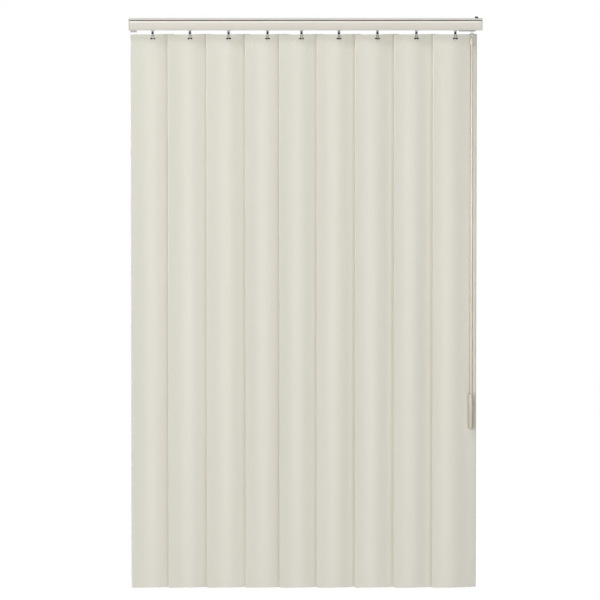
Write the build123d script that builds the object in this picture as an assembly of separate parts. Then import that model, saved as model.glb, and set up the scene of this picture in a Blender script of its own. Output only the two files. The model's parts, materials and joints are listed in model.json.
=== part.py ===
from build123d import *
from math import atan, cos, degrees, pi, sin
import os

os.makedirs("parts", exist_ok=True)

# A vertical blind, drawn right across with its vanes closed.
# Origin in the middle of the head rail's top face, +X right as seen from the room, +Y to the window, +Z up.
# All lengths in millimetres, all angles in degrees.

# Head rail, one aluminium extrusion open along the bottom, closed by a cap at each end
overall_width = 708.0
rail_depth = 38.0
rail_height = 22.4
rail_wall = 1.2
rail_slot = 14.0
lip_width = 34.0
lip_height = 1.6
groove_height = 2.2
groove_inset = 4.8
shoulder_radius = 1.2
heel_radius = 1.5
cap_thickness = 2.5
left_plug = 13.5
right_plug = 5.0
lug_drop = 4.8
tongue_reach = 10.5
tongue_width = 22.0
tongue_thickness = 1.1

# Vanes
vane_width = 88.9
vane_length = 1118.0
vane_thickness = 0.8
vane_crown = 3.5
vane_corner = 1.6
vane_gap = 9.0
closed_turn = 9.0
catch_slot_width = 9.0
catch_slot_height = 2.1
catch_slot_drop = 8.6

# Carriers and how far apart the spacers let them stand, from left to right
end_margin = 3.35
lead_inset = 54.2
spacer_slack = [3.4, 0.6, 0.0, 10.0, 3.0, 1.0, 0.0, 0.0]
cage_wall = 2.2
runner_thickness = 2.2
runner_corner = 2.5
keel_drop = 0.95
wand_offset = 33.0
foot_start = 5.8
foot_reach = 41.0
foot_width = 8.0
foot_drop = 3.2

# Spacer strips, which climb to the right so that they lie over one another when the carriers close up
strip_width = 5.0
strip_thickness = 0.4
strip_climb = 0.032
strip_overrun = 5.0
strip_base = 0.4
ramp_length = 8.0
peg_size = 2.0
peg_inset = 2.0
peg_head = 0.3
guide_bar = 1.0
guide_length = 3.0
guide_headroom = 0.5

# Gears: a pinion on the tilt rod turns a crown gear at the head of each hanger
gear_module = 1.5
pinion_teeth = 6
crown_teeth = 9
tooth_tip_height = 0.9
tooth_root_depth = 1.1
tooth_tip_thickness = 0.8
crown_tooth_thickness = 1.4
pinion_tooth_thickness = 1.2
face_width = 2.6
crown_rim = 0.3
crown_plate = 1.6
rod_across_flats = 4.0
sleeve_radius = 3.1
stem_radius = 2.4

# Hanger below the rail
collar_radius = 4.9
collar_height = 4.6
neck_radius = 1.6
bead_radius = 2.2
bead_height = 4.0
clip_width = 4.4
clip_thickness = 1.0
clip_length = 13.0
clip_tongue = 2.2
pad_drop = 2.6
pad_height = 4.4
catch_height = 1.5

# Wand
eye_hole_radius = 1.1
blade_thickness = 2.0
blade_width = 4.4
eye_below_foot = 4.2
wire_radius = 0.8
wire_bend = 1.4
wire_seat = 5.0
hook_spread = 3.4
hook_length = 8.2
hook_end = 3.6
wand_sleeve_radius = 4.0
wand_sleeve_length = 15.6
wand_radius = 3.0
wand_length = 758.0
wand_insert = 8.0
grip_radius = 4.8
grip_length = 72.6
grip_insert = 48.0
grip_shoulder = 6.0
grip_tip = 2.7

# Fits and clearances
running_fit = 0.08
sliding_gap = 0.15
side_gap = 0.6
rod_slack = 0.12
gear_side_gap = 0.25
head_gap = 1.6
socket_fit = 0.05
clip_gap = 0.15
catch_gap = 0.1
strip_gap = 0.1
guide_side_gap = 0.3

# Sizes that follow from the ones above
vane_count = len(spacer_slack) + 1
rail_length = overall_width - 2 * cap_thickness
half_depth = rail_depth / 2
half_lip = lip_width / 2
half_groove = half_depth - groove_inset
shoulder_z = -(lip_height + groove_height)
track_z = -(rail_height - rail_wall)
pinion_radius = gear_module * pinion_teeth / 2
crown_radius = gear_module * crown_teeth / 2
pinion_tip = pinion_radius + tooth_tip_height
pinion_root = pinion_radius - tooth_root_depth
crown_inner = crown_radius - face_width / 2 - crown_rim
crown_outer = crown_radius + face_width / 2 + crown_rim
crown_corner = crown_outer / cos(pi / crown_teeth)
rod_corner = rod_across_flats / 2 / cos(pi / 6)
rod_z = -(rail_wall + head_gap + pinion_tip)
mesh_z = rod_z - pinion_radius
crown_top_z = mesh_z - tooth_root_depth
crown_base_z = crown_top_z - crown_plate
floor_z = crown_base_z - sliding_gap
runner_z = track_z + sliding_gap
wing_z = runner_z + runner_thickness
keel_z = runner_z - keel_drop
cage_inner = crown_corner + gear_side_gap
cage_outer = cage_inner + cage_wall
cage_top_z = rod_z + sleeve_radius / 2
vane_top_z = -(rail_height + vane_gap)
catch_z = vane_top_z - catch_slot_drop
foot_z = -(rail_height + foot_drop)
eye_z = foot_z - eye_below_foot
ramp_x = cage_outer - ramp_length
guide_half = strip_width / 2 + guide_side_gap
strip_y = -(half_depth - rail_wall - 2 * side_gap - guide_bar - guide_half)
first_x = -overall_width / 2 + vane_width / 2 + end_margin
lead_x = overall_width / 2 - lead_inset
spacer_reach = (lead_x - first_x + sum(spacer_slack)) / len(spacer_slack)
wand_x = lead_x + wand_offset


def carrier_places():
    # The lead carrier is last, and each spacer sets how far its neighbour stands to the left
    places = [lead_x]
    for slack in reversed(spacer_slack):
        places.insert(0, places[0] - (spacer_reach - slack))
    return places


def closed_outline(points):
    return make_face(Polyline(*points, close=True))


def mirrored(points):
    # Points of the right half, from its top to its bottom, made a whole outline
    return closed_outline(points + [(-across, up) for across, up in reversed(points)])


def corners_at(outline, across, up):
    spots = [spot for spot in outline.vertices() if abs(spot.Y - up) < 0.01]
    return [spot for spot in spots if abs(abs(spot.X) - across) < 0.01]


def rail_outside():
    outline = mirrored([
        (half_lip, 0),
        (half_lip, -lip_height),
        (half_groove, -lip_height),
        (half_groove, shoulder_z),
        (half_depth, shoulder_z),
        (half_depth, -rail_height),
    ])
    outline = fillet(corners_at(outline, half_depth, -rail_height), heel_radius)
    return fillet(corners_at(outline, half_depth, shoulder_z), shoulder_radius)


def rail_inside(gap=0.0):
    # The hollow of the rail, drawn in by a gap for what fits inside it
    wall = rail_wall + gap
    return mirrored([
        (half_groove - wall, -wall),
        (half_groove - wall, shoulder_z - wall),
        (half_depth - wall, shoulder_z - wall),
        (half_depth - wall, -(rail_height - wall)),
    ])


def along_x(outline, start, end):
    # Extrudes an outline drawn across Y and up Z, from one place along X to another
    return Pos(start, 0, 0) * extrude(Plane.YZ * outline, end - start)


def box_between(low, high):
    size = [b - a for a, b in zip(low, high)]
    middle = [(a + b) / 2 for a, b in zip(low, high)]
    return Pos(*middle) * Box(*size)


def rod_across(radius, start, end):
    # A round bar or bore on the tilt rod's axis
    return Pos((start + end) / 2, 0, rod_z) * Rot(0, 90, 0) * Cylinder(radius, end - start)


def upright(radius, top_z, bottom_z):
    return Pos(0, 0, (top_z + bottom_z) / 2) * Cylinder(radius, top_z - bottom_z)


def many_sided(points, sides=12):
    # A moulded form with flat sides round Z, from radius and height points
    turns = [2 * pi * (step + 0.5) / sides for step in range(sides)]
    rings = [[(radius * cos(turn), radius * sin(turn), up) for turn in turns] for radius, up in points]
    faces = [Face(Wire.make_polygon(rings[0])), Face(Wire.make_polygon(rings[-1]))]
    for ring, following in zip(rings, rings[1:]):
        for step in range(sides):
            after = (step + 1) % sides
            corners = [ring[step], ring[after], following[after], following[step]]
            faces.append(Face(Wire.make_polygon(corners)))
    return Part() + Solid(Shell(faces))


def head_rail():
    section = rail_outside() - rail_inside()
    slot = Pos(0, -rail_height + rail_wall / 2) * Rectangle(rail_slot, 2 * rail_wall)
    return along_x(section - slot, -rail_length / 2, rail_length / 2)


def end_cap(plug_depth):
    # The cap at the left end, its outer face at the end of the blind
    outer_x = -overall_width / 2
    plug_end = outer_x + cap_thickness + plug_depth
    cap = along_x(rail_outside(), outer_x, outer_x + cap_thickness)
    cap += along_x(rail_inside(sliding_gap), outer_x + cap_thickness / 2, plug_end)
    bearing_start = outer_x + cap_thickness / 2
    return cap - rod_across(rod_corner + running_fit, bearing_start, plug_end + 1)


def left_cap():
    # A lug on its plug hangs through the slot and is the carriers' stop
    start = -overall_width / 2 + cap_thickness + sliding_gap
    end = -overall_width / 2 + cap_thickness + left_plug
    half = rail_slot / 2 - sliding_gap
    lug = box_between((start, -half, -rail_height - lug_drop), (end, half, track_z + 1))
    return end_cap(left_plug) + lug


def right_cap():
    # A tongue under the top wall takes the fixing screw
    start = -overall_width / 2 + cap_thickness
    half = tongue_width / 2
    top_z = -(rail_wall + sliding_gap)
    end = start + right_plug + tongue_reach
    tongue = box_between((start, -half, top_z - tongue_thickness), (end, half, top_z))
    return Rot(0, 0, 180) * (end_cap(right_plug) + tongue)


def tilt_rod():
    length = overall_width - cap_thickness - 2 * sliding_gap
    return Pos(0, 0, rod_z) * along_x(RegularPolygon(rod_corner, 6), -length / 2, length / 2)


def gear_tooth(thickness, foot):
    # One tooth standing up with its pitch line at zero, its foot sunk into the body of the gear
    flare = (thickness - tooth_tip_thickness) / tooth_tip_height
    half_root = (thickness + flare * tooth_root_depth) / 2
    return mirrored([
        (tooth_tip_thickness / 2, tooth_tip_height),
        (half_root, -tooth_root_depth),
        (half_root, -tooth_root_depth - foot),
    ])


def pinion():
    # Slides on the hexagonal rod and turns in the carrier's right wall, drawn with a tooth straight down
    outline = Rot(0, 0, 90) * RegularPolygon(pinion_root / cos(pi / pinion_teeth), pinion_teeth)
    tooth = Pos(0, pinion_radius) * gear_tooth(pinion_tooth_thickness, pinion_root / 4)
    for step in range(pinion_teeth):
        outline += Rot(0, 0, step * 360 / pinion_teeth) * tooth
    at_rod = Pos(0, 0, rod_z)
    start = crown_radius - face_width / 2
    end = crown_radius + face_width / 2
    hub = RegularPolygon(sleeve_radius, 3 * pinion_teeth)
    gear = along_x(outline, start, end) + along_x(hub, end, cage_outer)
    return at_rod * (gear - along_x(RegularPolygon(rod_corner + rod_slack, 6), start - 1, cage_outer + 1))


def crown_gear():
    # Radial teeth on a twelve-sided plate, drawn with a space between two teeth under the pinion
    gear = Pos(0, 0, crown_base_z) * extrude(RegularPolygon(crown_corner, crown_teeth), crown_plate)
    tooth = Pos(0, mesh_z) * gear_tooth(crown_tooth_thickness, crown_plate / 4)
    tooth = along_x(tooth, crown_inner, crown_outer)
    for step in range(crown_teeth):
        gear += Rot(0, 0, (step + 0.5) * 360 / crown_teeth) * tooth
    return gear


def hanger():
    # One moulding: crown gear, stem in the carrier's bore, collar, neck, bead and the clip for the vane
    collar_z = -(rail_height + collar_height)
    bead_z = collar_z - bead_height
    neck = many_sided([
        (collar_radius, -rail_height),
        (neck_radius, collar_z),
        (bead_radius, collar_z - bead_height / 3),
        (bead_radius, bead_z + bead_height / 3),
        (neck_radius, bead_z),
    ])
    stem = many_sided([(stem_radius, crown_base_z), (stem_radius, -rail_height)])
    return crown_gear() + stem + neck + Rot(0, 0, closed_turn) * clip(bead_z + bead_height / 4)


def clip(top_z):
    # The vane hangs between two legs, by its slot, on a catch that bridges them
    inner = vane_thickness / 2 + clip_gap
    outer = inner + clip_thickness
    half = clip_width / 2
    half_tongue = clip_tongue / 2
    tip_z = vane_top_z - clip_length
    pad_z = vane_top_z - pad_drop
    front = mirrored([
        (half_tongue, top_z),
        (half_tongue, pad_z + pad_height / 2),
        (half, pad_z + pad_height / 4),
        (half, pad_z - pad_height / 4),
        (half_tongue, pad_z - pad_height / 2),
        (half_tongue, tip_z + half_tongue),
        (half_tongue / 2, tip_z),
    ])
    front_leg = extrude(Plane.XZ.offset(inner) * front, clip_thickness)
    rear_leg = box_between((-half, inner, tip_z + clip_tongue), (half, outer, top_z))
    saddle = box_between((-half, -outer, vane_top_z + catch_gap), (half, outer, top_z))
    catch_top = catch_z + catch_slot_height / 2 - catch_gap
    catch = box_between((-half_tongue, -inner, catch_top - catch_height), (half_tongue, inner, catch_top))
    return front_leg + rear_leg + saddle + catch


def chamfered(width, height, cut):
    return chamfer(Rectangle(width, height).vertices(), cut)


def vane():
    # A strip bowed towards the room, cut to length, with trimmed corners and the slot that it hangs by
    bow = (vane_width**2 / 4 + vane_crown**2) / (2 * vane_crown)
    band = Pos(0, bow) * (Circle(bow + vane_thickness / 2) - Circle(bow - vane_thickness / 2))
    band &= Pos(0, vane_crown / 2) * Rectangle(vane_width, vane_crown + 4 * vane_thickness)
    strip = Pos(0, 0, vane_top_z - vane_length) * extrude(band, vane_length)
    front = Plane.XZ.offset(vane_width / 2)
    blank = Pos(0, vane_top_z - vane_length / 2) * chamfered(vane_width, vane_length, vane_corner)
    slot = Pos(0, catch_z) * chamfered(catch_slot_width, catch_slot_height, catch_slot_height / 3)
    strip &= extrude(front * (blank - slot), -vane_width)
    return Rot(0, 0, closed_turn) * strip


def runner(start, end):
    # The flat foot that slides on the rail's two tracks, and the keel that keeps it in the slot
    half_runner = half_depth - rail_wall - side_gap
    half_keel = rail_slot / 2 - side_gap
    foot = box_between((start, -half_runner, runner_z), (end, half_runner, wing_z))
    foot = chamfer(foot.edges().filter_by(Axis.Z), runner_corner)
    return foot + box_between((start, -half_keel, keel_z), (end, half_keel, runner_z))


def cage(middle):
    # Two end walls round a crown gear, which turns on the floor between them
    start = middle - cage_outer
    end = middle + cage_outer
    shoulder = sleeve_radius + cage_wall
    wall = mirrored([
        (shoulder, cage_top_z),
        (crown_outer, rod_z - sleeve_radius),
        (crown_outer, runner_z),
    ])
    block = box_between((start, -crown_outer, runner_z), (end, crown_outer, floor_z))
    return block + along_x(wall, start, start + cage_wall) + along_x(wall, end - cage_wall, end)


def cage_bores(middle):
    # Stem bore, the pinion's open bearing in the right wall and an open way for the rod in the left one
    stem_bore = Pos(middle, 0, 0) * upright(stem_radius + running_fit, floor_z + 1, foot_z - 1)
    bearing = sleeve_radius + running_fit
    start = middle + cage_inner - 1
    end = middle + cage_outer + 1
    right_way = rod_across(bearing, start, end) + box_between((start, -bearing, rod_z), (end, bearing, 0))
    half = rod_corner + side_gap
    left = middle - cage_outer
    left_way = box_between((left - 1, -half, rod_z - half), (left + cage_wall + 1, half, 0))
    return stem_bore + right_way + left_way


def strip_guide():
    # A low arch over the front wing, under which the neighbours' spacers pass
    highest = strip_base + strip_gap + strip_climb * (spacer_reach + strip_overrun) + strip_thickness
    roof_z = wing_z + highest + guide_headroom
    start = -cage_outer
    end = start + guide_length
    outer_half = guide_half + guide_bar
    arch = box_between((start, strip_y - outer_half, wing_z - 0.5), (end, strip_y + outer_half, roof_z + guide_bar))
    way = box_between((start - 1, strip_y - guide_half, wing_z), (end + 1, strip_y + guide_half, roof_z))
    return arch - way


def strip_ramp():
    # A ramp on the front wing with the peg that holds a spacer's left end
    low_z = wing_z + strip_base
    slope = closed_outline([
        (ramp_x, wing_z - 0.5),
        (cage_outer, wing_z - 0.5),
        (cage_outer, low_z + strip_climb * ramp_length),
        (ramp_x, low_z),
    ])
    ramp = extrude(Plane.XZ.offset(-strip_y - strip_width / 2) * slope, strip_width)
    peg_x = ramp_x + peg_inset
    peg_top = low_z + strip_climb * peg_inset + strip_gap + strip_thickness + peg_head
    half = peg_size / 2
    return ramp + box_between((peg_x - half, strip_y - half, wing_z), (peg_x + half, strip_y + half, peg_top))


def carrier():
    body = runner(-cage_outer, cage_outer) + cage(0) + strip_guide() + strip_ramp()
    return body - cage_bores(0)


def lead_carrier():
    # Two cages on one runner, with a foot under the slot that stiffens it between hanger and wand
    body = runner(-cage_outer, wand_offset + cage_outer) + cage(0) + cage(wand_offset) + strip_guide()
    half = foot_width / 2
    foot = box_between((foot_start, -half, foot_z), (foot_reach, half, keel_z + 0.5))
    ends = foot.edges().filter_by(Axis.Y).sort_by(Axis.Z)[:2]
    body += chamfer(ends, foot_drop / 2)
    return body - cage_bores(0) - cage_bores(wand_offset)


def spacer():
    # A springy strip pegged on its carrier's ramp, reaching past the next carrier to the right
    length = spacer_reach + strip_overrun
    hole = peg_size + 2 * strip_gap
    strip = box_between((0, -strip_width / 2, 0), (length, strip_width / 2, strip_thickness))
    strip -= box_between((peg_inset - hole / 2, -hole / 2, -1), (peg_inset + hole / 2, hole / 2, 1))
    tilted = Rot(0, -degrees(atan(strip_climb)), 0) * strip
    return Pos(ramp_x, strip_y, wing_z + strip_base + strip_gap) * tilted


def wand_stub():
    # The same crown gear as a hanger's, on a stem that ends in a flat blade with an eye
    stem_z = foot_z - 1
    tip_z = eye_z - 2 * eye_hole_radius
    half = blade_thickness / 2
    stem = many_sided([(stem_radius, crown_base_z), (stem_radius, stem_z)])
    blade = box_between((-half, -blade_width / 2, tip_z), (half, blade_width / 2, stem_z + 0.5))
    blade = chamfer(blade.edges().filter_by(Axis.X).sort_by(Axis.Z)[:2], eye_hole_radius)
    eye = Pos(0, 0, eye_z) * Rot(0, 90, 0) * Cylinder(eye_hole_radius, 2 * blade_thickness)
    return crown_gear() + stem + (blade - eye)


def wand_hook():
    # A wire hook: its shank is let into the sleeve, slants out past the blade and comes back through the eye
    top_z = eye_z - hook_length
    path = Polyline(
        (0, 0, top_z - wire_seat),
        (0, 0, top_z + wire_radius),
        (-hook_spread, 0, eye_z - wire_bend),
        (wire_bend - hook_spread, 0, eye_z),
        (hook_spread - wire_bend, 0, eye_z),
        (hook_spread, 0, eye_z - wire_bend),
        (hook_spread, 0, eye_z - hook_end),
    )
    wire = Plane(path @ 0, z_dir=path % 0) * RegularPolygon(wire_radius, 8)
    return sweep(wire, path, transition=Transition.RIGHT)


def wand_sleeve():
    top_z = eye_z - hook_length
    bottom_z = top_z - wand_sleeve_length
    sleeve = many_sided([
        (wand_sleeve_radius - 1.2, top_z),
        (wand_sleeve_radius, top_z - 1.6),
        (wand_sleeve_radius, bottom_z + 3),
        (wand_radius + 0.6, bottom_z),
    ])
    seat = upright(wire_radius + socket_fit, top_z + 1, top_z - wire_seat - 2 * socket_fit)
    socket = upright(wand_radius + socket_fit, bottom_z + wand_insert, bottom_z - 1)
    return sleeve - seat - socket


def wand_top_z():
    return eye_z - hook_length - wand_sleeve_length + wand_insert - socket_fit


def wand_rod():
    return Pos(0, 0, wand_top_z() - wand_length / 2) * Cylinder(wand_radius, wand_length)


def wand_grip():
    # A pushed-on handle with a tapered shoulder and a round tip
    seat_z = wand_top_z() - wand_length - socket_fit
    top_z = seat_z + grip_insert
    bottom_z = top_z - grip_length
    grip = many_sided([
        (wand_radius + 0.8, top_z),
        (grip_radius, top_z - grip_shoulder),
        (grip_radius, bottom_z + grip_tip),
        (0.86 * grip_radius, bottom_z + grip_tip / 3),
        (0.6 * grip_radius, bottom_z),
    ], 16)
    return grip - upright(wand_radius + socket_fit, top_z + 1, seat_z)


def write(name, piece):
    piece.label = name
    export_step(piece, f"parts/{name}.step")


write("head_rail", head_rail())
write("end_cap_left", left_cap())
write("end_cap_right", right_cap())
write("tilt_rod", tilt_rod())

one_carrier = carrier()
one_spacer = spacer()
one_pinion = pinion()
one_hanger = hanger()
one_vane = vane()
for number, place in enumerate(carrier_places(), start=1):
    at_place = Pos(place, 0, 0)
    write(f"hanger_{number}", at_place * one_hanger)
    write(f"vane_{number}", at_place * one_vane)
    write(f"pinion_{number}", at_place * one_pinion)
    if number < vane_count:
        write(f"carrier_{number}", at_place * one_carrier)
        write(f"spacer_{number}", at_place * one_spacer)

at_lead = Pos(lead_x, 0, 0)
at_wand = Pos(wand_x, 0, 0)
write("lead_carrier", at_lead * lead_carrier())
write("wand_pinion", at_wand * one_pinion)
write("wand_stub", at_wand * wand_stub())
write("wand_hook", at_wand * wand_hook())
write("wand_sleeve", at_wand * wand_sleeve())
write("wand_rod", at_wand * wand_rod())
write("wand_grip", at_wand * wand_grip())
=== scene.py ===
import bpy
import bmesh
import json
import math
from mathutils import Matrix, Vector


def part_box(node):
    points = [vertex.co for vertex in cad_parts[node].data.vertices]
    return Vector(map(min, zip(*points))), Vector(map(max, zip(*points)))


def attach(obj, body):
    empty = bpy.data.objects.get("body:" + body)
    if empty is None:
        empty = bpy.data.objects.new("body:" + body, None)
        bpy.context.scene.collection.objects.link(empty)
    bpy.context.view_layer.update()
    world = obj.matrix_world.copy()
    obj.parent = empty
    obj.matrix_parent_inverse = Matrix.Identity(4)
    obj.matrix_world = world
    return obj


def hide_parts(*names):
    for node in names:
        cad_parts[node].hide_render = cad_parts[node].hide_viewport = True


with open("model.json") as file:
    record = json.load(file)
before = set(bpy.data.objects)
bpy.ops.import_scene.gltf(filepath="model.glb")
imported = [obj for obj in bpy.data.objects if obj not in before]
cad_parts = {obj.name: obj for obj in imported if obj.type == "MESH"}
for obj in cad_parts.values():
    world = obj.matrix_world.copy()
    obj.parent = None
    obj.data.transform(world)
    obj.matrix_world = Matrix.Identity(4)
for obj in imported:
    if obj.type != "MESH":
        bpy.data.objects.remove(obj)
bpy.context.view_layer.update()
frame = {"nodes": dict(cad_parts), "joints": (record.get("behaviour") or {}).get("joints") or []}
nodes = frame["nodes"]
joints = {joint["name"]: joint for joint in frame["joints"]}
vaneCount = sum(1 for name in nodes if name.startswith("vane_"))
mm = 0.001
samePoint = 0.0001 * mm  # vertices nearer than this are one
white = (1, 1, 1, 1)


class Sock:
    # one shader socket, so that the maths of a material reads as plain sums
    def __init__(self, tree, socket=None):
        self.tree = tree
        self.socket = socket

    def node(self, kind, settings=None, values=None, out=0):
        made = self.tree.nodes.new("ShaderNode" + kind)
        for name, value in (settings or {}).items():
            setattr(made, name, value)
        for name, value in (values or {}).items():
            if isinstance(value, Sock):
                self.tree.links.new(value.socket, made.inputs[name])
            else:
                made.inputs[name].default_value = value
        return Sock(self.tree, made.outputs[out])

    def maths(self, operation, first, second=0.0):
        return self.node("Math", {"operation": operation}, {0: first, 1: second})

    def __add__(self, other):
        return self.maths("ADD", self, other)

    def __radd__(self, other):
        return self.maths("ADD", other, self)

    def __sub__(self, other):
        return self.maths("SUBTRACT", self, other)

    def __rsub__(self, other):
        return self.maths("SUBTRACT", other, self)

    def __mul__(self, other):
        return self.maths("MULTIPLY", self, other)

    def __rmul__(self, other):
        return self.maths("MULTIPLY", other, self)

    def band(self, low, high):
        # 0 below low, 1 above high, smooth between
        settings = {"interpolation_type": "SMOOTHSTEP"}
        values = {"Value": self, "From Min": low, "From Max": high}
        return self.node("MapRange", settings, values)

    def between(self, rise, fall):
        # 1 past the rise and before the fall, 0 elsewhere
        return self.band(*rise) * (1 - self.band(*fall))

    def axis(self, number):
        # the x, y or z of a vector
        return self.node("SeparateXYZ", None, {"Vector": self}, out=number)


def startMaterial(name, base, rough, **fixed):
    # a Principled material with its constants set on the shader's own sockets
    material = bpy.data.materials.new(name)
    material.use_nodes = True
    shader = material.node_tree.nodes["Principled BSDF"]
    shader.inputs["Base Color"].default_value = (*base, 1)
    shader.inputs["Roughness"].default_value = rough
    for socket, value in fixed.items():
        shader.inputs[socket.replace("_", " ")].default_value = value
    return material, shader, Sock(material.node_tree)


def dress(material, shader, colour, rough, normal):
    for name, value in (("Base Color", colour), ("Roughness", rough), ("Normal", normal)):
        material.node_tree.links.new(value.socket, shader.inputs[name])


def mixOutput(material, factor, first, second):
    # sends a mix of two shaders to the material's output
    both = factor.node("MixShader", None, {0: factor, 1: first, 2: second})
    output = material.node_tree.nodes["Material Output"]
    material.node_tree.links.new(both.socket, output.inputs["Surface"])


def objectSpot(sheet):
    # Object coordinates: each point's place in metres
    return sheet.node("TexCoord", out=3)


def noise(sheet, scale, detail=3.0, stretch=(1, 1, 1)):
    # an axis with a small stretch gets long streaks
    spot = sheet.node("Mapping", None, {"Vector": objectSpot(sheet), "Scale": stretch})
    return sheet.node("TexNoise", None, {"Vector": spot, "Scale": scale, "Detail": detail})


def edgeOn(sheet):
    # 0 where the surface faces the view, 1 at its rim
    return sheet.node("LayerWeight", None, {"Blend": 0.5}, out=1)


def blend(sheet, factor, first, second):
    # each colour is three numbers or the output of a node
    ends = [colour if isinstance(colour, Sock) else (*colour, 1) for colour in (first, second)]
    return sheet.node("Mix", {"data_type": "RGBA"}, {0: factor, 6: ends[0], 7: ends[1]}, out=2)


def darker(colour, share):
    return tuple(part * share for part in colour)


def bump(sheet, height, depth, strength):
    return sheet.node("Bump", None, {"Height": height, "Distance": depth, "Strength": strength})


mouldedSkin = {
    "cloudScale": 60.0, "cloudBand": (0.35, 0.75), "cloudShare": 0.6,
    "rimBand": (0.2, 0.75), "rimPaintedShade": 0.4, "patchScale": 140.0, "patchSwing": 0.16,
    "grainScale": 900.0, "grainDepth": 0.03 * mm, "grainStrength": 0.6,
}


def mouldedPlastic(name, base, shadow, rough, outline=0.0, **fixed):
    # satin moulding: faint mottling, fine spark texture and handled, duller patches, and painted
    # shade on the rims where the surface turns from the view
    skin = mouldedSkin
    material, shader, sheet = startMaterial(name, base, rough, **fixed)
    cloudy = noise(sheet, skin["cloudScale"], detail=4.0).band(*skin["cloudBand"])
    mottled = blend(sheet, cloudy * skin["cloudShare"], base, shadow)
    # painted shade: with outline set, the rims that turn from the view are darkened
    rim = edgeOn(sheet).band(*skin["rimBand"]) * outline
    colour = blend(sheet, rim, mottled, darker(base, skin["rimPaintedShade"]))
    patches = noise(sheet, skin["patchScale"]) * skin["patchSwing"]
    grain = noise(sheet, skin["grainScale"], detail=2.0)
    dress(material, shader, colour, patches + (rough - skin["patchSwing"] / 2),
          bump(sheet, grain, skin["grainDepth"], skin["grainStrength"]))
    return material


vaneLook = {
    "base": (0.735, 0.712, 0.628), "warm": (0.69, 0.664, 0.572), "dust": (0.62, 0.6, 0.54),
    "rough": 0.42, "leastRough": 0.18, "specular": 0.45,
    "lineScale": 700.0, "lineStretch": (1, 1, 0.004), "lineShare": 0.12,
    "cloudScale": 9.0, "cloudStretch": (1, 1, 0.12), "cloudBand": (0.35, 0.7), "cloudShare": 0.35,
    "grainScale": 1500.0, "grainStretch": (1, 1, 0.55), "grainDepth": 0.04 * mm,
    "grainStrength": 0.35, "dustScale": 70.0, "dustBand": (0.3, 0.9), "dustShare": 0.12,
    "dustHeights": (-120 * mm, -30 * mm), "grainRelief": 0.6, "lineRelief": 0.4,
    "lineRough": 0.08, "grainRough": 0.06, "dustRough": 0.06,
}


def vanePlastic():
    # extruded PVC: fine draw lines down the length, an embossed grain, a little dust near the top
    look = vaneLook
    material, shader, sheet = startMaterial(
        "vane pvc", look["base"], look["rough"], Specular_IOR_Level=look["specular"])
    lines = noise(sheet, look["lineScale"], stretch=look["lineStretch"])
    clouds = noise(sheet, look["cloudScale"], stretch=look["cloudStretch"])
    grain = noise(sheet, look["grainScale"], detail=2.0, stretch=look["grainStretch"])
    specks = noise(sheet, look["dustScale"], detail=2.0).band(*look["dustBand"])
    dust = objectSpot(sheet).axis(2).band(*look["dustHeights"]) * specks
    warmth = clouds.band(*look["cloudBand"]) * look["cloudShare"] + lines * look["lineShare"]
    plain = blend(sheet, warmth, look["base"], look["warm"])
    rough = lines * look["lineRough"] + grain * look["grainRough"] + dust * look["dustRough"]
    relief = grain * look["grainRelief"] + lines * look["lineRelief"]
    dress(material, shader, blend(sheet, dust * look["dustShare"], plain, look["dust"]),
          rough + look["leastRough"],
          bump(sheet, relief, look["grainDepth"], look["grainStrength"]))
    return material


# walls are distances from the rail's middle, rises and falls are heights
railLook = {
    "base": (0.72, 0.69, 0.62), "warm": (0.66, 0.625, 0.55), "dust": (0.55, 0.53, 0.49),
    "rough": 0.36, "leastRough": 0.3, "coat": 0.15, "coatRough": 0.2,
    "lineScale": 900.0, "lineStretch": (0.01, 1, 1), "lineShare": 0.15,
    "peelScale": 1100.0, "peelDepth": 0.02 * mm, "peelRelief": 0.5, "lineRelief": 0.5,
    "peelRough": 0.1, "dustRough": 0.2,
    "cloudScale": 24.0, "cloudStretch": (0.3, 1, 1), "cloudBand": (0.35, 0.7), "cloudShare": 0.4,
    "dustScale": 60.0, "dustBand": (0.35, 0.85), "dustFacing": (0.6, 0.95), "dustShare": 0.35,
    # painted shade: the groove under the top lip is darkened in the colour
    "groovePaintedShade": (0.12, 0.11, 0.1), "grooveShare": 0.75, "grooveWall": (17.0 * mm, 17.6 * mm),
    "grooveRise": (-4.3 * mm, -3.7 * mm), "grooveFall": (-1.8 * mm, -1.4 * mm),
    # painted highlight: the rounded shoulder below the groove is lightened in the colour
    "shoulderPaintedHighlight": (1.0, 0.96, 0.89), "shoulderWall": (17.6 * mm, 18.2 * mm),
    "shoulderRise": (-7.8 * mm, -5.2 * mm), "shoulderFall": (-2.8 * mm, -2.2 * mm),
    "faceMiddle": -12.5 * mm, "faceBow": -17.0,
}


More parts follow.
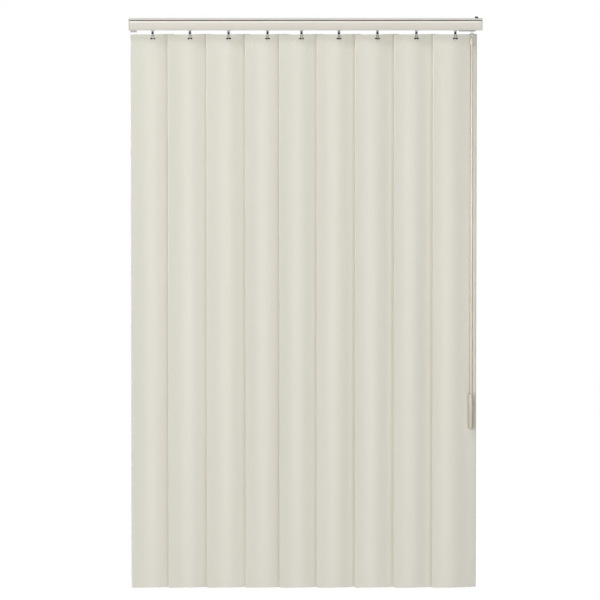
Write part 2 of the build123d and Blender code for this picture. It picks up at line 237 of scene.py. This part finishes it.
def railPaint():
    # powder coat on an extrusion: orange peel, faint draw lines along the rail, dust on top,
    # painted shade in the groove, a painted highlight on the shoulder below it and a slightly
    # bowed face
    look = railLook
    material, shader, sheet = startMaterial(
        "rail paint", look["base"], look["rough"], Coat_Weight=look["coat"],
        Coat_Roughness=look["coatRough"])
    lines = noise(sheet, look["lineScale"], stretch=look["lineStretch"])
    peel = noise(sheet, look["peelScale"], detail=2.0)
    clouds = noise(sheet, look["cloudScale"], detail=4.0, stretch=look["cloudStretch"])
    facingUp = sheet.node("NewGeometry", out=1).axis(2).band(*look["dustFacing"])
    settled = facingUp * noise(sheet, look["dustScale"]).band(*look["dustBand"])
    warmth = clouds.band(*look["cloudBand"]) * look["cloudShare"] + lines * look["lineShare"]
    plain = blend(sheet, warmth, look["base"], look["warm"])
    dusty = blend(sheet, settled * look["dustShare"], plain, look["dust"])
    fromMiddle = sheet.maths("ABSOLUTE", objectSpot(sheet).axis(1))
    height = objectSpot(sheet).axis(2)
    # painted shade in the groove under the top lip
    groove = height.between(look["grooveRise"], look["grooveFall"])
    groove = groove * (1 - fromMiddle.band(*look["grooveWall"])) * look["grooveShare"]
    # painted highlight on the shoulder below the groove
    shoulder = height.between(look["shoulderRise"], look["shoulderFall"])
    shoulder = shoulder * fromMiddle.band(*look["shoulderWall"])
    shaded = blend(sheet, groove, dusty, look["groovePaintedShade"])
    aside = height - look["faceMiddle"]
    relief = (peel * look["peelRelief"] + lines * look["lineRelief"]) * look["peelDepth"]
    rough = peel * look["peelRough"] + settled * look["dustRough"] + look["leastRough"]
    dress(material, shader, blend(sheet, shoulder, shaded, look["shoulderPaintedHighlight"]), rough,
          bump(sheet, relief + aside * aside * look["faceBow"], 1.0, 1.0))
    return material


clearSkin = {
    "flowScale": 320.0, "flowStretch": (1, 1, 0.2), "flowBand": (0.4, 0.8), "flowShare": 0.4,
    "flowShade": 0.86, "flowDepth": 0.06 * mm, "flowStrength": 0.4,
    "scuffScale": 120.0, "scuffSwing": 0.2, "rimWidth": 0.45, "refraction": 1.49,
}


def clearPlastic(name, base, rough, through, outline, rimStart=0.5, rimPaintedShade=0.25, unshaded=0.7):
    # clear moulding with flow lines, a scuffed skin and painted shade on its rims where the
    # surface turns from the view; it lets part of the light by
    skin = clearSkin
    material, shader, sheet = startMaterial(
        name, base, rough, IOR=skin["refraction"], Transmission_Weight=through)
    flow = noise(sheet, skin["flowScale"], detail=4.0, stretch=skin["flowStretch"])
    streaks = flow.band(*skin["flowBand"]) * skin["flowShare"]
    plain = blend(sheet, streaks, base, darker(base, skin["flowShade"]))
    # painted shade: the rims that turn from the view are darkened
    rim = edgeOn(sheet).band(rimStart, rimStart + skin["rimWidth"]) * outline
    scuffs = noise(sheet, skin["scuffScale"]) * skin["scuffSwing"]
    dress(material, shader, blend(sheet, rim, plain, darker(base, rimPaintedShade)),
          scuffs + (rough - skin["scuffSwing"] / 2),
          bump(sheet, flow, skin["flowDepth"], skin["flowStrength"]))
    shadowRay = sheet.node("LightPath", out=1)
    glass = Sock(material.node_tree, shader.outputs[0])
    mixOutput(material, shadowRay * unshaded, glass, sheet.node("BsdfTransparent"))
    return material


metalSkin = {
    "lineScale": 1600.0, "lineDepth": 0.02 * mm, "lineStrength": 0.4, "lineSwing": 0.14,
    "markScale": 180.0, "markBand": (0.5, 0.75), "markShare": 0.5, "markShade": 0.7,
    "markSwing": 0.18, "gloss": 0.05,
}


def brightMetal(name, base, rough, stretch):
    # drawn or plated metal with lines along its length and duller marks
    skin = metalSkin
    material, shader, sheet = startMaterial(name, base, rough, Metallic=1.0)
    lines = noise(sheet, skin["lineScale"], stretch=stretch)
    marks = noise(sheet, skin["markScale"], detail=4.0).band(*skin["markBand"])
    dress(material, shader,
          blend(sheet, marks * skin["markShare"], base, darker(base, skin["markShade"])),
          lines * skin["lineSwing"] + marks * skin["markSwing"] + (rough - skin["gloss"]),
          bump(sheet, lines, skin["lineDepth"], skin["lineStrength"]))
    return material


vanePvc = vanePlastic()
railCoat = railPaint()
capPlastic = mouldedPlastic("cap plastic", (0.60, 0.58, 0.52), (0.53, 0.51, 0.45), 0.42)
whiteMoulding = mouldedPlastic("white acetal", (0.78, 0.78, 0.76), (0.70, 0.70, 0.67), 0.4)
leadMoulding = mouldedPlastic(
    "lead carrier plastic", (0.50, 0.50, 0.48), (0.42, 0.42, 0.40), 0.4)
stripPlastic = mouldedPlastic("spacer strip", (0.74, 0.73, 0.69), (0.66, 0.65, 0.6), 0.3)
blackPlastic = mouldedPlastic(
    "black plastic", (0.004, 0.004, 0.004), (0.012, 0.012, 0.011), 0.5, Specular_IOR_Level=0.2)
gripPlastic = mouldedPlastic(
    # the grip's darker edges are painted shade on its rims
    "beige grip", (0.60, 0.56, 0.45), (0.55, 0.50, 0.39), 0.32, outline=0.6,
    Coat_Weight=0.2, Coat_Roughness=0.2)
hangerClear = clearPlastic("clear hanger", (0.95, 0.96, 0.95), 0.12, 0.92, 0.6)
# painted shade: a dark copy of the clear plastic for the hangers' edges
hangerEdgePaintedShade = clearPlastic("hanger edge painted shade", (0.10, 0.10, 0.09), 0.3, 0.2, 0.5, unshaded=0.16)
# the wand tube's dark edge lines are painted shade on its rims
tubeClear = clearPlastic(
    "clear wand tube", (0.90, 0.87, 0.74), 0.15, 0.38, 0.9, rimStart=0.08, rimPaintedShade=0.12,
    unshaded=0.85)
sleeveClear = clearPlastic(
    "clear sleeve", (0.76, 0.74, 0.63), 0.2, 0.35, 0.6, rimStart=0.3, unshaded=0.9)
wireMetal = brightMetal("plated wire", (0.34, 0.34, 0.33), 0.3, (1, 1, 0.05))
rodMetal = brightMetal("drawn rod", (0.62, 0.62, 0.63), 0.28, (0.02, 1, 1))
print("materials done")

# a node takes the first finish that its name starts with
finishes = {
    "head_rail": railCoat, "end_cap": capPlastic, "tilt_rod": rodMetal,
    "lead_carrier": leadMoulding, "carrier": whiteMoulding, "spacer": stripPlastic,
    "pinion": whiteMoulding, "wand_pinion": whiteMoulding, "wand_stub": whiteMoulding,
    "vane": vanePvc, "hanger": hangerClear, "wand_hook": wireMetal,
    "wand_sleeve": sleeveClear, "wand_rod": tubeClear, "wand_grip": gripPlastic,
}
for name, piece in nodes.items():
    for start, finish in finishes.items():
        if name.startswith(start):
            piece.data.materials.clear()
            piece.data.materials.append(finish)
            break
print("solids dressed")


def rectangle(left, right, bottom, top):
    return [(left, bottom), (right, bottom), (right, top), (left, top)]


def outline(bm, points, radius=0.0, segments=5):
    # a flat face in the XZ plane, its corners rounded
    corners = [bm.verts.new((x, 0, z)) for x, z in points]
    bm.faces.new(corners)
    if radius:
        bmesh.ops.bevel(bm, geom=corners, offset=radius, offset_type="OFFSET", segments=segments,
                        profile=0.5, affect="VERTICES", material=-1)


def slab(bm, points, y, thickness, radius=0.0):
    # an outline with a thickness, from y backwards
    before = set(bm.verts)
    outline(bm, points, radius, segments=4)
    faces = [face for face in bm.faces if not set(face.verts) & before]
    pushed = bmesh.ops.extrude_face_region(bm, geom=faces)["geom"]
    moved = [part for part in pushed if isinstance(part, bmesh.types.BMVert)]
    bmesh.ops.translate(bm, verts=moved, vec=(0, thickness, 0))
    made = [vert for vert in bm.verts if vert not in before]
    bmesh.ops.translate(bm, verts=made, vec=(0, y, 0))


def lathe(bm, points, steps=48):
    # spins radius and height points into a closed form round Z
    ring = [bm.verts.new((radius, 0, height)) for radius, height in points]
    edges = [bm.edges.new(pair) for pair in zip(ring, ring[1:])]
    bmesh.ops.spin(bm, geom=ring + edges, axis=(0, 0, 1), cent=(0, 0, 0), steps=steps,
                   angle=2 * math.pi, use_merge=True)
    bmesh.ops.remove_doubles(bm, verts=bm.verts, dist=samePoint)


def turnRoundZ(bm, verts, angle):
    bmesh.ops.rotate(bm, verts=verts, cent=(0, 0, 0), matrix=Matrix.Rotation(angle, 3, "Z"))


def soften(bm, width, sharper=40):
    # rounds every edge that turns more than the given angle
    turn = math.radians(sharper)
    edges = [edge for edge in bm.edges
             if len(edge.link_faces) == 2 and edge.calc_face_angle(0) > turn]
    bmesh.ops.bevel(bm, geom=edges, offset=width, offset_type="OFFSET", segments=2,
                    profile=0.5, affect="EDGES", material=-1)


def takeIn(bm, part):
    # adds the part's mesh to the piece and lets the part go
    carried = bpy.data.meshes.new("part")
    part.to_mesh(carried)
    part.free()
    bm.from_mesh(carried)
    bpy.data.meshes.remove(carried)


def finishPiece(bm, name, materials, body, replaced, sharp=35):
    # turns the faces outwards, shades the mesh and hangs it on its body
    bmesh.ops.recalc_face_normals(bm, faces=bm.faces)
    for face in bm.faces:
        face.smooth = True
    for edge in bm.edges:
        if len(edge.link_faces) == 2 and edge.calc_face_angle(0) > math.radians(sharp):
            edge.smooth = False
    mesh = bpy.data.meshes.new(name)
    bm.to_mesh(mesh)
    bm.free()
    for material in materials:
        mesh.materials.append(material)
    piece = bpy.data.objects.new(name, mesh)
    bpy.context.scene.collection.objects.link(piece)
    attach(piece, body)
    if replaced:
        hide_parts(replaced)


vane = {
    "width": 88.9 * mm, "crown": 3.5 * mm, "thickness": 0.8 * mm, "turn": math.radians(9),
    "corner": 2.0 * mm, "strips": 36,
    "slotWidth": 9.0 * mm, "slotHeight": 2.1 * mm, "slotDrop": 8.6 * mm, "slotRound": 0.98,
    # the long edges roll back over the last part of the width
    "curl": 1.5 * mm, "curlRadius": 3.6 * mm, "curlCuts": (0.0, 0.35, 0.7, 1.0),
    "curlInset": 0.1 * mm,
}


def makeVane(number):
    low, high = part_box(f"vane_{number}")
    half, crown, curlRadius = vane["width"] / 2, vane["crown"], vane["curlRadius"]
    across, up = vane["slotWidth"] / 2, vane["slotHeight"] / 2
    slotZ = high.z - vane["slotDrop"]
    bm = bmesh.new()
    outline(bm, rectangle(-half, half, low.z, high.z), vane["corner"])
    slot = rectangle(-across, across, slotZ - up, slotZ + up)
    outline(bm, slot, up * vane["slotRound"], segments=6)
    # the two outlines become one sheet with a slot in it
    bmesh.ops.delete(bm, geom=bm.faces[:], context="FACES_KEEP_BOUNDARY")
    bmesh.ops.triangle_fill(bm, use_beauty=True, use_dissolve=False, edges=bm.edges[:])
    cuts = [-half + vane["width"] * step / vane["strips"] for step in range(1, vane["strips"])]
    for inward in vane["curlCuts"]:
        cut = half - vane["curl"] * inward - vane["curlInset"]
        cuts += [-cut, cut]
    for x in cuts:
        bmesh.ops.bisect_plane(bm, geom=bm.verts[:] + bm.edges[:] + bm.faces[:], dist=samePoint,
                               plane_co=(x, 0, 0), plane_no=(1, 0, 0))
    bmesh.ops.recalc_face_normals(bm, faces=bm.faces)
    bmesh.ops.solidify(bm, geom=bm.faces[:], thickness=vane["thickness"])
    middle = sum(vert.co.y for vert in bm.verts) / len(bm.verts)
    bow = (half ** 2 + crown ** 2) / (2 * crown)  # radius of the vane's curve
    for vert in bm.verts:
        past = max(0.0, abs(vert.co.x) - half + vane["curl"])
        roll = curlRadius - math.sqrt(curlRadius ** 2 - past ** 2)
        vert.co.y += bow - math.sqrt(bow ** 2 - vert.co.x ** 2) + roll - middle
    turnRoundZ(bm, bm.verts, vane["turn"])
    pivotX = joints[f"vane_{number}_tilt"]["pos_m"][0]
    bmesh.ops.translate(bm, verts=bm.verts, vec=(pivotX, 0, 0))
    finishPiece(bm, f"fineVane_{number}", [vanePvc], f"blade_{number}", f"vane_{number}")


for number in range(1, vaneCount + 1):
    makeVane(number)
print("vanes done")


hanger = {
    # crown gear
    "teeth": 9, "plateRadius": 8.89 * mm, "plateTop": -13.8 * mm, "plateThickness": 1.6 * mm,
    "plateTurn": math.radians(10), "toothStart": 5.15 * mm, "toothEnd": 8.35 * mm,
    "toothHeight": 2.0 * mm, "toothRoot": 2.1 * mm, "toothTip": 0.8 * mm,
    # stem, cone and bead
    "stem": 2.4 * mm, "cone": 4.9 * mm, "coneTop": -22.4 * mm, "coneEnd": -27.0 * mm,
    "coneLip": 0.2 * mm, "coneLipDrop": 0.3 * mm, "neck": 1.6 * mm, "neckFlare": 0.5 * mm,
    "neckRise": 0.7 * mm, "coneGap": 0.1 * mm, "bead": 2.9 * mm, "beadZ": -29.0 * mm,
    "beadHalf": 1.9 * mm, "beadEnd": -31.0 * mm, "beadInset": 0.02 * mm,
    "beadStart": 35, "beadSweep": 110, "beadSteps": 8,  # degrees round the bead's section
    # clip: a front and a back leg joined by a saddle, and a catch through the vane's slot
    "vaneTop": -31.4 * mm, "tip": -44.4 * mm, "legInner": 0.55 * mm, "legThickness": 1.0 * mm,
    "tongue": 2.2 * mm, "tongueTaper": 1.1 * mm, "tongueShare": 0.75, "tongueCorner": 0.3 * mm,
    "backWidth": 4.4 * mm, "backRise": 2.2 * mm, "backCorner": 0.4 * mm, "saddleRise": 1.4 * mm,
    "saddleGap": 0.1 * mm, "catchTop": -39.05 * mm, "catchHeight": 1.5 * mm,
    "catchLap": 0.2 * mm, "softEdge": 0.12 * mm, "edgeFacing": 0.85,
    # round pad on the front of the vane
    "padDrop": 3.6 * mm, "padOuter": 2.6 * mm, "padInner": 1.5 * mm, "padRim": 0.85 * mm,
    "padTop": 1.0 * mm, "padFloor": 0.7 * mm, "padBevel": 0.15 * mm,
    # black inserts in the vane's slot, with a flange on the front: painted shade where the slot
    # shows dark
    "insertGap": 0.05 * mm, "insertY": -0.42 * mm, "insertDepth": 0.82 * mm,
    "insertCorner": 0.3 * mm, "flange": 0.5 * mm, "flangeY": -0.68 * mm,
    "flangeDepth": 0.24 * mm, "flangeCorner": 1.2 * mm,
}
hangerFinishes = [hangerClear, blackPlastic, hangerEdgePaintedShade, whiteMoulding]
blackPart, paintedEdgeShadePart, paintedGlintPart = 1, 2, 3  # places in hangerFinishes, 0 is clear


def crownGear(bm):
    # a nine-sided plate with a bar-shaped tooth towards each corner
    h = hanger
    plateZ = h["plateTop"] - h["plateThickness"] / 2
    spot = Matrix.Translation((0, 0, plateZ)) @ Matrix.Rotation(h["plateTurn"], 4, "Z")
    bmesh.ops.create_cone(bm, cap_ends=True, segments=h["teeth"], radius1=h["plateRadius"],
                          radius2=h["plateRadius"], depth=h["plateThickness"], matrix=spot)
    length = h["toothEnd"] - h["toothStart"]
    for step in range(h["teeth"]):
        tooth = bmesh.ops.create_cube(bm, size=1.0)["verts"]
        for vert in tooth:
            if vert.co.z > 0:
                vert.co.y *= h["toothTip"] / h["toothRoot"]
        bmesh.ops.scale(bm, verts=tooth, vec=(length, h["toothRoot"], h["toothHeight"]))
        bmesh.ops.translate(bm, verts=tooth, vec=(
            h["toothStart"] + length / 2, 0, h["plateTop"] + h["toothHeight"] / 2))
        turnRoundZ(bm, tooth, (step + 0.5) * 2 * math.pi / h["teeth"])


def stemAndCone(bm):
    h = hanger
    stemTop = h["plateTop"] - h["plateThickness"]
    lathe(bm, [
        (0, stemTop), (h["stem"], stemTop), (h["stem"], h["coneTop"]),
        (h["cone"] - h["coneLip"], h["coneTop"]), (h["cone"], h["coneTop"] - h["coneLipDrop"]),
        (h["neck"] + h["neckFlare"], h["coneEnd"] + h["neckRise"]),
        (h["neck"], h["coneEnd"] + h["coneGap"]), (0, h["coneEnd"] + h["coneGap"])])


def bead(bm):
    # the dark bead on the neck
    h = hanger
    points = [(0, h["coneEnd"]), (h["neck"] - h["beadInset"], h["coneEnd"])]
    for step in range(h["beadSteps"] + 1):
        turn = math.radians(h["beadStart"] + step * h["beadSweep"] / h["beadSteps"])
        points.append((h["bead"] * math.sin(turn), h["beadZ"] + h["beadHalf"] * math.cos(turn)))
    points += [(h["neck"], h["beadEnd"]), (0, h["beadEnd"])]
    lathe(bm, points, steps=32)


def clipLegs(bm):
    # the thin sides of the legs get a dark copy of the clear plastic, painted shade on the edges
    h = hanger
    inner, thick = h["legInner"], h["legThickness"]
    half, tongue = h["backWidth"] / 2, h["tongue"] / 2
    top, tip = h["vaneTop"] + h["saddleRise"], h["tip"]
    front = [(tongue, top), (tongue, tip + h["tongueTaper"]), (tongue / 2, tip)]
    front += [(-x, z) for x, z in reversed(front)]
    slab(bm, front, -inner - thick, thick * h["tongueShare"], h["tongueCorner"])
    slab(bm, rectangle(-half, half, tip + h["backRise"], top), inner, thick, h["backCorner"])
    slab(bm, rectangle(-half, half, h["vaneTop"] + h["saddleGap"], top), -inner - thick,
         2 * (inner + thick))
    slab(bm, rectangle(-tongue, tongue, h["catchTop"] - h["catchHeight"], h["catchTop"]),
         -inner - h["catchLap"], 2 * (inner + h["catchLap"]))
    soften(bm, h["softEdge"])
    for face in bm.faces:
        face.normal_update()
        if abs(face.normal.y) < h["edgeFacing"]:
            face.material_index = paintedEdgeShadePart


def padRing(bm):
    # the round pad that presses on the front of the vane, with a raised rim; its cup is white as
    # a painted glint and the rest has the painted edge shade
    h = hanger
    outer, inner, bevel = h["padOuter"], h["padInner"], h["padBevel"]
    pad = bmesh.new()
    lathe(pad, [(0, 0), (outer, 0), (outer, h["padRim"]), (outer - bevel, h["padTop"]),
                (inner + bevel, h["padTop"]), (inner, h["padFloor"]), (0, h["padFloor"])],
          steps=32)
    for face in pad.faces:
        middle = face.calc_center_median()
        # painted glint in the cup, painted shade on the ring
        inTheCup = math.hypot(middle.x, middle.y) < inner and middle.z > 0
        face.material_index = paintedGlintPart if inTheCup else paintedEdgeShadePart
    spot = Matrix.Translation((0, -h["legInner"], h["vaneTop"] - h["padDrop"]))
    facingFront = Matrix.Rotation(math.radians(90), 4, "X")
    bmesh.ops.transform(pad, verts=pad.verts, matrix=spot @ facingFront)
    takeIn(bm, pad)


def slotShadeInserts(bm):
    # black inserts that fill the vane's slot on either side of the catch, dark pieces standing in
    # for the shade in the slot
    h = hanger
    outer = vane["slotWidth"] / 2 - h["insertGap"]
    inner = h["tongue"] / 2 + h["insertGap"]
    up = vane["slotHeight"] / 2 - h["insertGap"]
    slotZ = h["vaneTop"] - vane["slotDrop"]
    for side in (-1, 1):
        slab(bm, rectangle(side * inner, side * outer, slotZ - up, slotZ + up),
             h["insertY"], h["insertDepth"], h["insertCorner"])
    wide, tall = outer + h["flange"], up + h["flange"]
    slab(bm, rectangle(-wide, wide, slotZ - tall, slotZ + tall),
         h["flangeY"], h["flangeDepth"], h["flangeCorner"])


def blacken(bm, firstFace):
    # the faces made since firstFace are black
    bm.faces.ensure_lookup_table()
    for face in bm.faces[firstFace:]:
        face.material_index = blackPart


def makeHanger(number):
    bm = bmesh.new()
    crownGear(bm)
    stemAndCone(bm)
    firstFace = len(bm.faces)
    bead(bm)
    blacken(bm, firstFace)
    clip = bmesh.new()
    clipLegs(clip)
    padRing(clip)
    firstFace = len(clip.faces)
    slotShadeInserts(clip)
    blacken(clip, firstFace)
    turnRoundZ(clip, clip.verts, vane["turn"])
    takeIn(bm, clip)
    pivotX = joints[f"vane_{number}_tilt"]["pos_m"][0]
    bmesh.ops.translate(bm, verts=bm.verts, vec=(pivotX, 0, 0))
    finishPiece(bm, f"fineHanger_{number}", hangerFinishes, f"blade_{number}",
                f"hanger_{number}")


for number in range(1, vaneCount + 1):
    makeHanger(number)
print("hangers done")


wandX = joints["wand_swing"]["pos_m"][0]
eyeZ = joints["wand_swing"]["pos_m"][2]


def finishWandPiece(bm, name, material, replaced):
    # wand pieces are made round Z and moved under the wand's eye
    bmesh.ops.translate(bm, verts=bm.verts, vec=(wandX, 0, 0))
    finishPiece(bm, name, [material], "wand", replaced, sharp=50)


def makeTurned(name, points, material, replaced, steps=48):
    bm = bmesh.new()
    lathe(bm, points, steps)
    finishWandPiece(bm, name, material, replaced)


hook = {
    "wireRadius": 0.8 * mm, "spread": 3.4 * mm, "bend": 1.4 * mm, "endDrop": 3.6 * mm,
    "shoulder": 0.9, "shoulderDrop": 1.8 * mm, "cornerIn": 0.3 * mm, "cornerDrop": 0.5 * mm,
    "length": 8.2 * mm, "seat": 5.0 * mm, "standsOut": 0.4 * mm,
}


def makeHook():
    # a bent wire that runs up from the sleeve, through the eye and down
    spread, bend = hook["spread"], hook["bend"]
    corner, cornerZ = spread - hook["cornerIn"], eyeZ - hook["cornerDrop"]
    sleeveTop = eyeZ - hook["length"]
    points = [
        (0, sleeveTop - hook["seat"]), (0, sleeveTop + hook["standsOut"]),
        (-spread * hook["shoulder"], eyeZ - hook["shoulderDrop"]), (-corner, cornerZ),
        (-spread + bend, eyeZ), (spread - bend, eyeZ), (corner, cornerZ),
        (spread, eyeZ - bend), (spread, eyeZ - hook["endDrop"])]
    curve = bpy.data.curves.new("hook curve", "CURVE")
    curve.dimensions = "3D"
    curve.bevel_depth = hook["wireRadius"]
    curve.bevel_resolution = 4
    curve.use_fill_caps = True
    line = curve.splines.new("NURBS")
    line.points.add(len(points) - 1)
    line.order_u, line.use_endpoint_u, line.resolution_u = 3, True, 6
    for point, (x, z) in zip(line.points, points):
        point.co = (x, 0, z, 1)
    holder = bpy.data.objects.new("hook curve", curve)
    bpy.context.scene.collection.objects.link(holder)
    bpy.context.view_layer.update()
    wire = bpy.data.meshes.new_from_object(holder)
    bpy.data.objects.remove(holder)
    bm = bmesh.new()
    bm.from_mesh(wire)
    bpy.data.meshes.remove(wire)
    bmesh.ops.remove_doubles(bm, verts=bm.verts, dist=0.001 * mm)
    finishWandPiece(bm, "fineHook", wireMetal, "wand_hook")


tube = {"radius": 3.0 * mm, "bevel": 0.3 * mm, "fit": 0.06 * mm}


def makeTube():
    low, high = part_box("wand_rod")
    r, bevel = tube["radius"], tube["bevel"]
    points = [(0, high.z), (r - bevel, high.z), (r, high.z - bevel),
              (r, low.z + bevel), (r - bevel, low.z), (0, low.z)]
    makeTurned("fineTube", points, tubeClear, "wand_rod", steps=40)


# shoulder and skirt are radii with drops from the top and rises from the bottom, in mm
sleeve = {
    "shoulder": [(1.4, 0), (2.6, 0.15), (3.3, 0.6), (3.8, 1.2), (4.0, 2.0)],
    "skirt": [(4.0, 3.0), (3.8, 1.6), (3.6, 0)], "boreDepth": 8.0 * mm,
}


def makeSleeve():
    low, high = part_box("wand_sleeve")
    bore, boreTop = tube["radius"] + tube["fit"], low.z + sleeve["boreDepth"]
    points = [(0, high.z)]
    points += [(radius * mm, high.z - drop * mm) for radius, drop in sleeve["shoulder"]]
    points += [(radius * mm, low.z + rise * mm) for radius, rise in sleeve["skirt"]]
    points += [(bore, low.z), (bore, boreTop), (0, boreTop)]
    makeTurned("fineSleeve", points, sleeveClear, "wand_sleeve")


# the collar is radii with drops from the top, in mm
grip = {
    "collar": [(3.9, 0.4), (4.3, 3.0), (4.8, 6.0)], "mouth": 0.7 * mm, "boreDepth": 48 * mm,
    "radius": 4.8 * mm, "tipRound": 4.2 * mm, "tipSteps": 8,
}


def makeGrip():
    low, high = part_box("wand_grip")
    bore, boreEnd = tube["radius"] + tube["fit"], high.z - grip["boreDepth"]
    r, tip = grip["radius"], grip["tipRound"]
    points = [(0, boreEnd), (bore, boreEnd), (bore, high.z), (bore + grip["mouth"], high.z)]
    points += [(radius * mm, high.z - drop * mm) for radius, drop in grip["collar"]]
    for step in range(grip["tipSteps"] + 1):
        turn = math.radians(step * 90 / grip["tipSteps"])
        points.append((r - tip + tip * math.cos(turn), low.z + tip - tip * math.sin(turn)))
    points.append((0, low.z))
    makeTurned("fineGrip", points, gripPlastic, "wand_grip")


makeHook()
makeSleeve()
makeTube()
makeGrip()
print("wand done")


screw = {
    "x": 342.2 * mm, "y": 8.6 * mm, "radius": 3.5 * mm, "height": 3.6 * mm,
    # the head's rounding: shares of the radius, and drops from the top
    "rounding": [(1.0, 1.4), (0.94, 0.8), (0.8, 0.25), (0.55, 0)],
    "socket": 1.4 * mm, "socketFloor": 1.2 * mm, "socketDepth": 1.2 * mm,
    "washerRadius": 4.6 * mm, "washerThickness": 0.5 * mm, "washerBevelZ": 0.35 * mm,
    "washerBevel": 0.2 * mm,
}


def makeScrewPiece(name, points, material):
    bm = bmesh.new()
    lathe(bm, points, steps=32)
    bmesh.ops.translate(bm, verts=bm.verts, vec=(screw["x"], screw["y"], 0))
    finishPiece(bm, name, [material], "rail", None)


def makeScrew():
    # a black screw with a pale washer, on the rail's top at its right end
    r, top, seat = screw["radius"], screw["height"], screw["washerThickness"]
    socketZ = top - screw["socketDepth"]
    points = [(0, seat), (r, seat)]
    points += [(r * share, top - drop * mm) for share, drop in screw["rounding"]]
    points += [(screw["socket"], top), (screw["socketFloor"], socketZ), (0, socketZ)]
    makeScrewPiece("railScrew", points, blackPlastic)
    r = screw["washerRadius"]
    points = [(0, 0), (r, 0), (r, screw["washerBevelZ"]), (r - screw["washerBevel"], seat),
              (0, seat)]
    makeScrewPiece("screwWasher", points, whiteMoulding)


makeScrew()
print("screw done")


stage = {
    "floorZ": -3.0, "floorHalf": 20, "floor": (0.86, 0.86, 0.86), "floorRough": 0.8,
    "floorGlow": 1.15, "floorGlowShare": 0.85, "worldLight": 0.1, "worldSeen": 1.0,
}


def makeStage():
    # a pale floor that glows for the camera only, and keeps part of the shadow
    bm = bmesh.new()
    bmesh.ops.create_grid(bm, x_segments=1, y_segments=1, size=stage["floorHalf"])
    bmesh.ops.translate(bm, verts=bm.verts, vec=(0, 0, stage["floorZ"]))
    mesh = bpy.data.meshes.new("floor")
    bm.to_mesh(mesh)
    bm.free()
    floor = bpy.data.objects.new("floor", mesh)
    bpy.context.scene.collection.objects.link(floor)
    material, shader, sheet = startMaterial("pale floor", stage["floor"], stage["floorRough"])
    glow = sheet.node("Emission", None, {"Color": white, "Strength": stage["floorGlow"]})
    cameraRay = sheet.node("LightPath")
    plain = Sock(material.node_tree, shader.outputs[0])
    mixOutput(material, cameraRay * stage["floorGlowShare"], plain, glow)
    mesh.materials.append(material)


def makeWorld():
    # white for the camera, mirrors and clear plastic, and a weak fill for everything else
    world = bpy.data.worlds.new("studio")
    bpy.context.scene.world = world
    world.use_nodes = True
    tree = world.node_tree
    tree.nodes.clear()
    sheet = Sock(tree)
    path = tree.nodes.new("ShaderNodeLightPath")
    seen = Sock(tree, path.outputs["Is Camera Ray"])
    for name in ("Is Glossy Ray", "Is Transmission Ray"):
        seen = sheet.maths("MAXIMUM", seen, Sock(tree, path.outputs[name]))
    soft, bright = [sheet.node("Background", None, {"Color": white, "Strength": stage[name]})
                    for name in ("worldLight", "worldSeen")]
    both = sheet.node("MixShader", None, {0: seen, 1: soft, 2: bright})
    output = tree.nodes.new("ShaderNodeOutputWorld")
    tree.links.new(both.socket, output.inputs["Surface"])


# degrees, metres and watts; azimuth goes from the camera's side to its right
lampAim = Vector((0, 0, -0.55))
lamps = {
    "key": {"azimuth": -38, "lift": 12, "far": 6.5, "size": (2.0, 3.6), "watts": 240},
    "strip": {"azimuth": 14, "lift": -6, "far": 8.0, "size": (1.2, 2.0), "watts": 50},
    "side": {"azimuth": 36, "lift": -6, "far": 8.0, "size": (1.1, 2.0), "watts": 44},
    "top": {"azimuth": -5, "lift": 60, "far": 4.0, "size": (1.6, 0.8), "watts": 36},
    "back right": {"azimuth": 140, "lift": 22, "far": 6.0, "size": (4.0, 3.0), "watts": 165},
    "back left": {"azimuth": -140, "lift": 22, "far": 6.0, "size": (4.0, 3.0), "watts": 135},
}


def addLamp(name, azimuth, lift, far, size, watts):
    light = bpy.data.lights.new(name, "AREA")
    light.shape = "RECTANGLE"
    light.size, light.size_y = size
    light.energy = watts
    turn, rise = math.radians(azimuth), math.radians(lift)
    outward = Vector((math.sin(turn) * math.cos(rise), -math.cos(turn) * math.cos(rise),
                      math.sin(rise)))
    lamp = bpy.data.objects.new(name, light)
    lamp.location = lampAim + far * outward
    lamp.rotation_euler = (-outward).to_track_quat("-Z", "Y").to_euler()
    bpy.context.scene.collection.objects.link(lamp)


view = {
    "far": 16.0, "tilt": math.radians(6.0), "target": Vector((-0.0112, 0, -0.5664)),
    "sensor": 36, "clip": (0.1, 200),
    "width": 600 * 2.009 * mm,  # 600 pixels of 2.009 mm at the blind
}


def addCamera():
    # a long lens a little above the rail, so that the rail's top just shows
    data = bpy.data.cameras.new("camera")
    data.sensor_width = view["sensor"]
    data.lens = view["sensor"] * view["far"] / view["width"]
    data.clip_start, data.clip_end = view["clip"]
    camera = bpy.data.objects.new("camera", data)
    backward = Vector((0, -math.cos(view["tilt"]), math.sin(view["tilt"])))
    camera.location = view["target"] + view["far"] * backward
    camera.rotation_euler = (math.pi / 2 - view["tilt"], 0, 0)
    bpy.context.scene.collection.objects.link(camera)
    bpy.context.scene.camera = camera


makeStage()
makeWorld()
for name, lamp in lamps.items():
    addLamp(name, **lamp)
addCamera()
bpy.context.scene.view_settings.view_transform = "Standard"
print("stage done")
